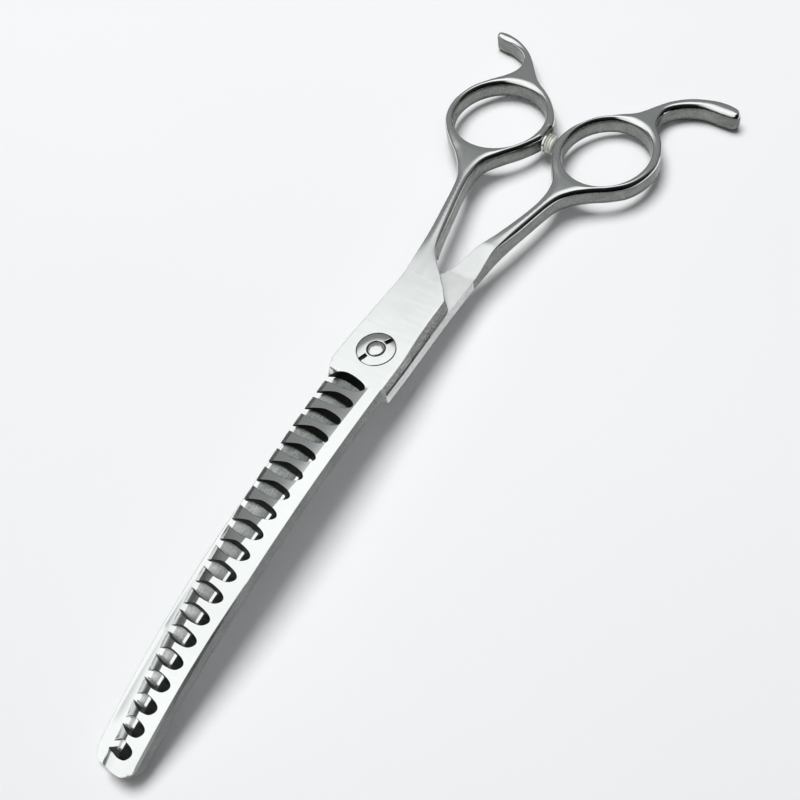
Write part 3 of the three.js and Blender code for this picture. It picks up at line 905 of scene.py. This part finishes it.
def bumper_screw():
    face = BUMPER_FOOT + 0.05
    return turned("bumper_screw_steel", [
        [0, face - 1.3], [0.85, face - 1.3], [0.85, face], [2.3, face], [2.3, face + 0.55],
        [0.75, face + 0.65], [0.75, face + 1.9], [0, face + 1.9],
    ], 0.08, 96, True)


def bumper_pad():
    foot = BUMPER_FOOT + 0.65
    ribs = []
    for low in (0.2, 0.9):
        y = foot + low
        ribs += [[2.35, y], [2.35, y + 0.35], [1.95, y + 0.5], [1.95, y + 0.65]]
    return turned("bumper_pad_silicone", [
        [0.85, foot + 0.2], [2.1, foot + 0.05], *ribs, [2.3, foot + 1.6], [2.25, foot + 1.95],
        [1.6, foot + 2.3], [0, foot + 2.35],
    ], 0.14, 96, True)


# ---------------- materials
GRAIN_DEPTH = 0.00002


class Tree:
    """A few short ways to lay out nodes."""

    def __init__(self, tree):
        self.tree = tree

    def add(self, kind, **inputs):
        node = self.tree.nodes.new(kind)
        for key, value in inputs.items():
            self.set(node.inputs[key.replace("_", " ")], value)
        return node

    def set(self, socket, value):
        if isinstance(value, bpy.types.NodeSocket):
            self.tree.links.new(value, socket)
        else:
            socket.default_value = value

    def spread(self, value, low, high, from_low=0.3, from_high=0.7):
        ends = {"From_Min": from_low, "From_Max": from_high, "To_Min": low, "To_Max": high}
        return self.add("ShaderNodeMapRange", Value=value, **ends).outputs["Result"]

    def math(self, kind, a, b):
        node = self.tree.nodes.new("ShaderNodeMath")
        node.operation = kind
        self.set(node.inputs[0], a)
        self.set(node.inputs[1], b)
        return node.outputs[0]

    def mix(self, share, a, b, kind="MIX"):
        """Colours blended by a share: sockets 6 and 7 of the node are its two colours."""
        node = self.tree.nodes.new("ShaderNodeMix")
        node.data_type = "RGBA"
        node.blend_type = kind
        self.set(node.inputs[0], share)
        self.set(node.inputs[6], a)
        self.set(node.inputs[7], b)
        return node.outputs[2]


class Nodes(Tree):
    """The nodes of one material."""

    def __init__(self, name):
        self.material = bpy.data.materials.new(name)
        self.material.use_nodes = True
        super().__init__(self.material.node_tree)
        self.shader = self.tree.nodes["Principled BSDF"]

    def put(self, name, value):
        """Sets or links one of the shader's own sockets."""
        self.set(self.shader.inputs[name], value)

    def station(self):
        """Distance along the tool in metres, from its middle towards the tips."""
        where = self.add("ShaderNodeTexCoord").outputs["Object"]
        return self.add("ShaderNodeSeparateXYZ", Vector=where).outputs["X"]

    def worn(self, amount):
        """Share of wear, on edges that stick out."""
        geometry = self.add("ShaderNodeNewGeometry")
        return self.spread(geometry.outputs["Pointiness"], 0.0, amount, 0.52, 0.6)

    def noise(self, stretch, size, detail=3.0, roughness=0.5):
        where = self.add("ShaderNodeTexCoord").outputs["Object"]
        place = self.add("ShaderNodeMapping", Vector=where, Scale=stretch).outputs["Vector"]
        node = self.add("ShaderNodeTexNoise", Vector=place, Scale=size, Detail=detail, Roughness=roughness)
        return node.outputs["Fac"]

    def bump(self, height, strength, depth):
        node = self.add("ShaderNodeBump", Height=height, Strength=strength, Distance=depth)
        self.put("Normal", node.outputs["Normal"])


def steel(name, tint, dark, rough, rough_range, grain, grain_size, grain_strength, blotch=0.0, soft=0.0):
    """Ground or polished steel: grain one way, smudges, worn edges. Blotch and soft change the shank's."""
    m = Nodes(name)
    fine = m.noise(grain, grain_size, 4.0, 0.6)
    cloud = m.noise((1, 1, 1), 90.0, 3.0, 0.55)
    smudge = m.spread(cloud, 0.0, 0.5)
    streak = m.spread(fine, 0.0, 0.35)
    colour = m.mix(m.math("ADD", smudge, streak), (*tint, 1), (*dark, 1))
    brighter = [min(1.0, c * 1.03) for c in tint]
    m.put("Base Color", m.mix(m.worn(0.6), colour, (*brighter, 1)))
    m.put("Metallic", 1.0)
    base = m.spread(cloud, rough - rough_range, rough + rough_range)
    if blotch:
        past_weld = m.spread(m.station(), blotch, 0.0, -0.05, -0.03)
        broad = m.noise((1, 1, 1), 140.0, 2.0, 0.5)
        base = m.math("ADD", base, m.math("MULTIPLY", broad, past_weld))
    if soft:
        base = m.math("ADD", base, m.spread(m.station(), 0.0, soft, -0.043, -0.034))
    m.put("Roughness", m.math("ADD", base, m.spread(fine, -0.02, 0.03)))
    m.bump(fine, grain_strength, GRAIN_DEPTH)
    return m.material


def ground(name, tint, dark, rough, size, stretch, strength, speckle=0.25, painted_shading_towards_tip=None):
    """A ground or brushed face. The setting for the tip is a level of painted shading that the colour goes
    to along the tool, and the two stations between which it is reached.
    """
    m = Nodes(name)
    streak = m.noise(stretch, size, 5.0, 0.65)
    cloud = m.noise((1, 1, 1), 160.0, 4.0, 0.6)
    speck = m.spread(m.noise((1, 1, 1), 2200.0, 2.0, 0.5), 0.0, 1.0, 0.4, 0.6)
    patches = m.math("ADD", m.spread(cloud, 0.0, 0.25), m.math("MULTIPLY", speck, speckle))
    share = m.math("ADD", m.spread(streak, 0.0, 0.45), patches)
    colour = m.mix(share, (*tint, 1), (*dark, 1))
    # Painted shading: past the two stations the colour goes over to the set level. This is painted shade on
    # the comb's side walls and painted reflection on the hollow.
    if painted_shading_towards_tip:
        level, start, end = painted_shading_towards_tip
        along = m.spread(m.station(), 0.0, 1.0, start, end)
        light = (level, level * 1.01, level, 1)
        shaded = (level * 0.5, level * 0.5, level * 0.5, 1)
        colour = m.mix(along, colour, m.mix(m.math("MULTIPLY", share, 0.6), light, shaded))
    brighter = [min(1.0, c * 1.3) for c in tint]
    m.put("Base Color", m.mix(m.worn(0.4), colour, (*brighter, 1)))
    m.put("Metallic", 1.0)
    m.put("Roughness", m.spread(cloud, rough - 0.05, rough + 0.06))
    m.bump(m.math("ADD", streak, speck), strength, GRAIN_DEPTH)
    return m.material


def nylon(name, tint):
    m = Nodes(name)
    cloud = m.noise((1, 1, 1), 400.0, 4.0, 0.6)
    darker = [c * 0.9 for c in tint]
    m.put("Base Color", m.mix(m.spread(cloud, 0.0, 0.6), (*tint, 1), (*darker, 1)))
    m.put("Roughness", m.spread(cloud, 0.42, 0.6))
    m.put("Subsurface Weight", 0.2)
    m.put("Subsurface Radius", (0.0006, 0.0006, 0.0005))
    m.bump(cloud, 0.15, 0.00003)
    return m.material


def silicone(name):
    m = Nodes(name)
    cloud = m.noise((1, 1, 1), 260.0, 4.0, 0.55)
    # The dark olive blotches in the colour are painted reflection of the dark surroundings in the clear
    # silicone.
    colour = m.mix(m.spread(cloud, 0.0, 1.0, 0.5, 0.66), (0.90, 0.93, 0.85, 1), (0.30, 0.31, 0.18, 1))
    m.put("Base Color", colour)
    m.put("Roughness", m.spread(cloud, 0.16, 0.32))
    m.put("Subsurface Weight", 0.35)
    m.put("Subsurface Radius", (0.001, 0.001, 0.0008))
    m.put("Transmission Weight", 0.15)
    m.bump(cloud, 0.2, 0.00004)
    return m.material


def floor_material():
    m = Nodes("pale_floor")
    cloud = m.noise((1, 1, 1), 6.0, 3.0, 0.5)
    colour = m.mix(m.spread(cloud, 0.0, 1.0), (0.90, 0.908, 0.92, 1), (0.885, 0.892, 0.90, 1))
    m.put("Base Color", colour)
    m.put("Roughness", m.spread(cloud, 0.55, 0.65))
    m.put("Specular IOR Level", 0.2)
    return m.material


# ---------------- stage, light and camera
HEADING = math.radians(-129.74)
DOWN = math.radians(57.85)
ROLL = math.radians(19.33)
CAMERA_FROM_PIVOT = (0.08796, 0.10796, 0.20207)
LENS = 51.33
STAGE_SIDES = 96
STAGE_TURN = np.arange(STAGE_SIDES) * 2 * math.pi / STAGE_SIDES
FLOOR_RINGS = ((0.05, 0), (0.2, 0), (0.45, 0), (0.7, 0))
SWEEP = (
    (0.69, -0.002), (1.2, 0.04), (1.8, 0.3), (2.3, 0.9), (2.6, 1.8), (2.7, 3.0), (2.2, 4.4), (0.6, 5.4),
)
# Stops are (place on the ramp, level). A ramp towards a direction runs by the cosine of the angle to it.
FAR_TILT = 19.0
BASE_STOPS = [(0.0, 0.02), (0.5, 0.03), (0.56, 0.08), (0.72, 0.26), (1.0, 0.3)]
NEAR_STOPS = [(0.0, 1.0), (0.5, 0.8), (0.64, 0.1), (1.0, 0.012)]
BOX_STOPS = [(0.0, 0.0), (0.845, 0.0), (0.905, 0.9), (1.0, 1.0)]
SIDE_BOX = (0.55, -0.45, 0.70)
SIDE_STOPS = [(0.0, 0.0), (0.77, 0.0), (0.88, 0.9), (1.0, 1.0)]
STUDIO_STRENGTH = 1.0
KEY_LIGHT = {"size": 0.7, "energy": 11.4, "away": 0.28, "height": 1.1}
FILL_LIGHT = {"size": 2.6, "energy": 7.5, "away": -0.2, "height": 1.4}


def camera():
    """Stands where the perspective puts it, from the pivot."""
    data = bpy.data.cameras.new("view")
    data.lens = LENS
    data.sensor_width = 36.0
    data.clip_start = 0.01
    level = math.cos(DOWN)
    forward = Vector((math.cos(HEADING) * level, math.sin(HEADING) * level, -math.sin(DOWN)))
    right = forward.cross(Vector((0, 0, 1))).normalized()
    up = right.cross(forward)
    across = math.cos(ROLL) * right - math.sin(ROLL) * up
    upward = math.sin(ROLL) * right + math.cos(ROLL) * up
    turn = Matrix((across, upward, -forward)).transposed().to_4x4()
    thing = linked("view", data)
    thing.matrix_world = Matrix.Translation(Vector(PIVOT) + Vector(CAMERA_FROM_PIVOT)) @ turn
    bpy.context.scene.camera = thing


def ring_points(rings):
    """Points of rings round the origin, each ring given by its radius and height."""
    return [(r * math.cos(t), r * math.sin(t), z) for r, z in rings for t in STAGE_TURN]


def ring_faces(first, count):
    """Quads between rings of points that follow each other."""
    faces = []
    for j in range(count - 1):
        a = first + j * STAGE_SIDES
        for k in range(STAGE_SIDES):
            after = (k + 1) % STAGE_SIDES
            faces.append((a + k, a + STAGE_SIDES + k, a + STAGE_SIDES + after, a + after))
    return faces


def staged(name, points, faces, material):
    """An object that belongs to the stage and not to the tool."""
    mesh = bpy.data.meshes.new(name)
    mesh.from_pydata(points, [], faces)
    mesh.materials.append(material)
    thing = linked(name, mesh)
    return thing


def floor():
    faces = [(0, 1 + k, 1 + (k + 1) % STAGE_SIDES) for k in range(STAGE_SIDES)]
    faces += ring_faces(1, len(FLOOR_RINGS))
    staged("floor", [(0, 0, 0), *ring_points(FLOOR_RINGS)], faces, floor_material())


def backdrop():
    """Pale sweep round the floor that only the camera sees: the steel keeps its studio reflections."""
    m = Nodes("pale_backdrop")
    cloud = m.noise((1, 1, 1), 1.5, 2.0, 0.5)
    m.put("Base Color", (0.0, 0.0, 0.0, 1))
    m.put("Specular IOR Level", 0.0)
    m.put("Emission Color", m.mix(cloud, (0.80, 0.81, 0.82, 1), (0.76, 0.77, 0.78, 1)))
    m.put("Emission Strength", 1.0)
    thing = staged("backdrop", ring_points(SWEEP), ring_faces(0, len(SWEEP)), m.material)
    smooth(thing.data)
    for ray in ("diffuse", "glossy", "transmission", "volume_scatter", "shadow"):
        setattr(thing, "visible_" + ray, False)


class Sky(Tree):
    """The nodes of the world."""

    def toward(self, direction):
        """Cosine of the angle to a direction."""
        where = self.add("ShaderNodeTexCoord")
        node = self.tree.nodes.new("ShaderNodeVectorMath")
        node.operation = "DOT_PRODUCT"
        self.set(node.inputs[0], where.outputs["Generated"])
        self.set(node.inputs[1], Vector(direction).normalized())
        return node.outputs["Value"]

    def ramp(self, value, stops):
        node = self.add("ShaderNodeValToRGB", Fac=value)
        node.color_ramp.interpolation = "EASE"
        elements = node.color_ramp.elements
        while len(elements) < len(stops):
            elements.new(0.5)
        for element, (at, level) in zip(elements, stops):
            element.position = at
            element.color = (level * 0.985, level, level, 1)
        return node.outputs["Color"]


def studio():
    """Soft box overhead that reaches down on the far side, grey below it, dark low down."""
    world = bpy.data.worlds.new("studio")
    bpy.context.scene.world = world
    world.use_nodes = True
    sky = Sky(world.node_tree)
    east, north = math.cos(HEADING), math.sin(HEADING)
    tilt = math.radians(FAR_TILT)
    box_centre = (east * math.sin(tilt), north * math.sin(tilt), math.cos(tilt))
    base = sky.ramp(sky.spread(sky.toward((0, 0, 1)), 0.0, 1.0, -1.0, 1.0), BASE_STOPS)
    shade = sky.ramp(sky.spread(sky.toward((-east, -north, 0.0)), 0.0, 1.0, -1.0, 1.0), NEAR_STOPS)
    box = sky.ramp(sky.toward(box_centre), BOX_STOPS)
    side_box = sky.ramp(sky.toward(SIDE_BOX), SIDE_STOPS)
    boxes = sky.mix(1.0, box, side_box, "LIGHTEN")
    light = sky.mix(1.0, sky.mix(1.0, base, shade, "MULTIPLY"), boxes, "ADD")
    back = world.node_tree.nodes["Background"].inputs
    sky.set(back["Color"], light)
    sky.set(back["Strength"], STUDIO_STRENGTH)
    world.cycles_visibility.diffuse = False


def soft_light(name, size, energy, away, height):
    """Disc light over the tool that lights the floor and soft goods; the steel shows the studio instead."""
    data = bpy.data.lights.new(name, "AREA")
    data.shape = "DISK"
    data.size = size
    data.energy = energy
    thing = linked(name, data)
    thing.location = Vector((math.cos(HEADING) * away, math.sin(HEADING) * away, height))
    thing.rotation_mode = "QUATERNION"
    thing.rotation_quaternion = thing.location.to_track_quat("Z", "Y")
    thing.visible_glossy = False


# ---------------- assembly
satin = steel(
    "satin_steel", (0.79, 0.805, 0.80), (0.772, 0.788, 0.782), rough=0.17, rough_range=0.02,
    grain=(5.0, 1.0, 1.0), grain_size=200.0, grain_strength=0.04,
)
HANDLE_LOOK = {
    "tint": (0.79, 0.805, 0.80), "dark": (0.73, 0.75, 0.74), "rough": 0.15, "rough_range": 0.03,
    "grain": (1.0, 3.0, 1.0), "grain_size": 220.0, "grain_strength": 0.08, "blotch": -0.1,
}
polished = steel("polished_steel", **HANDLE_LOOK)
polished_plain = steel("polished_steel_ramp", **HANDLE_LOOK, soft=0.2)
# Flat behind the pivot on the plain blade: patchy tone, and coloured near white as painted light, brighter
# than the satin beside it.
mottled_painted_light = steel(
    "mottled_steel_painted_light", (0.96, 0.965, 0.96), (0.84, 0.85, 0.84), rough=0.36, rough_range=0.05,
    grain=(1.0, 1.0, 1.0), grain_size=420.0, grain_strength=0.15,
)
bright = steel(
    "turned_steel", (0.76, 0.77, 0.765), (0.68, 0.69, 0.685), rough=0.15, rough_range=0.03,
    grain=(1.0, 1.0, 6.0), grain_size=500.0, grain_strength=0.15,
)
# Brushed side walls of the comb blade. Towards the tip they are darker, as painted shade.
brushed = ground(
    "brushed_side_painted_shade", (0.62, 0.625, 0.61), (0.22, 0.225, 0.22), rough=0.58, size=420.0,
    stretch=(1.0, 1.0, 4.0), strength=0.5, speckle=0.5, painted_shading_towards_tip=(0.34, 0.004, 0.02),
)
lapped = ground(
    "lapped_side", (0.86, 0.87, 0.86), (0.5, 0.51, 0.5), rough=0.45, size=300.0,
    stretch=(1.0, 1.0, 4.0), strength=0.3,
)
# Painted shade: the handles' side walls and lower rounding are coloured far darker than their polished tops.
wall = ground(
    "handle_wall_painted_shade", (0.30, 0.305, 0.29), (0.11, 0.115, 0.105), rough=0.26, size=240.0,
    stretch=(1.0, 1.0, 2.0), strength=0.15,
)
# Painted shade: the walls in the gaps between the teeth are coloured near black.
gap = ground(
    "gap_wall_painted_shade", (0.016, 0.018, 0.016), (0.004, 0.004, 0.004), rough=0.5, size=900.0,
    stretch=(1.0, 1.0, 3.0), strength=0.3,
)
# Hollow of the plain blade. Towards the tip it is lighter, as painted reflection.
hollow = ground(
    "hollow_face_painted_light", (0.46, 0.48, 0.46), (0.12, 0.13, 0.12), rough=0.40, size=900.0,
    stretch=(0.3, 3.0, 1.0), strength=0.4, speckle=0.3, painted_shading_towards_tip=(0.82, 0.03, 0.1),
)
# Painted shade: the floors and sides of the nut's slots are coloured near black.
slot_painted_shade = ground(
    "slot_floor_painted_shade", (0.06, 0.06, 0.055), (0.02, 0.02, 0.02), rough=0.5, size=900.0,
    stretch=(1.0, 1.0, 1.0), strength=0.2,
)
white_nylon = nylon("natural_nylon", (0.83, 0.82, 0.76))
clear_silicone = silicone("clear_silicone")

PIECES = [
    (comb_blade, "comb_blade", "comb_half", "satin_steel", (satin, brushed, gap)),
    (comb_handle, "comb_handle", "comb_half", "polished_steel", (polished, wall)),
    (plain_blade, "plain_blade", "plain_half", "satin_steel", (satin, lapped, hollow, mottled_painted_light)),
    (plain_handle, "plain_handle", "plain_half", "polished_steel", (polished_plain, wall)),
    (pivot_screw, "pivot_screw", "plain_half", "turned_steel", (bright,)),
    (tension_nut, "tension_nut", "tension_dial", "turned_steel", (bright, slot_painted_shade)),
    (bumper_screw, "bumper_screw", "comb_half", "turned_steel", (bright,)),
    (bumper_pad, "bumper_pad", "comb_half", "silicone", (clear_silicone,)),
]
for make, node, body, slot, looks in PIECES:
    piece = make()
    for material in looks:
        piece.data.materials.append(material)
    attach(piece, body)
    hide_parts(node)

HIDDEN = {name: ("nylon", white_nylon) for name in ("pivot_bush", "friction_washer", "thrust_washer")}
HIDDEN["wave_washer"] = ("turned_steel", bright)
for node, (slot, material) in HIDDEN.items():
    thing = frame["nodes"][node]
    thing.data.materials.clear()
    thing.data.materials.append(material)

floor()
backdrop()
studio()
soft_light("key", **KEY_LIGHT)
soft_light("fill", **FILL_LIGHT)
camera()
scene = bpy.context.scene
scene.view_settings.view_transform = "Standard"
scene.view_settings.look = "None"
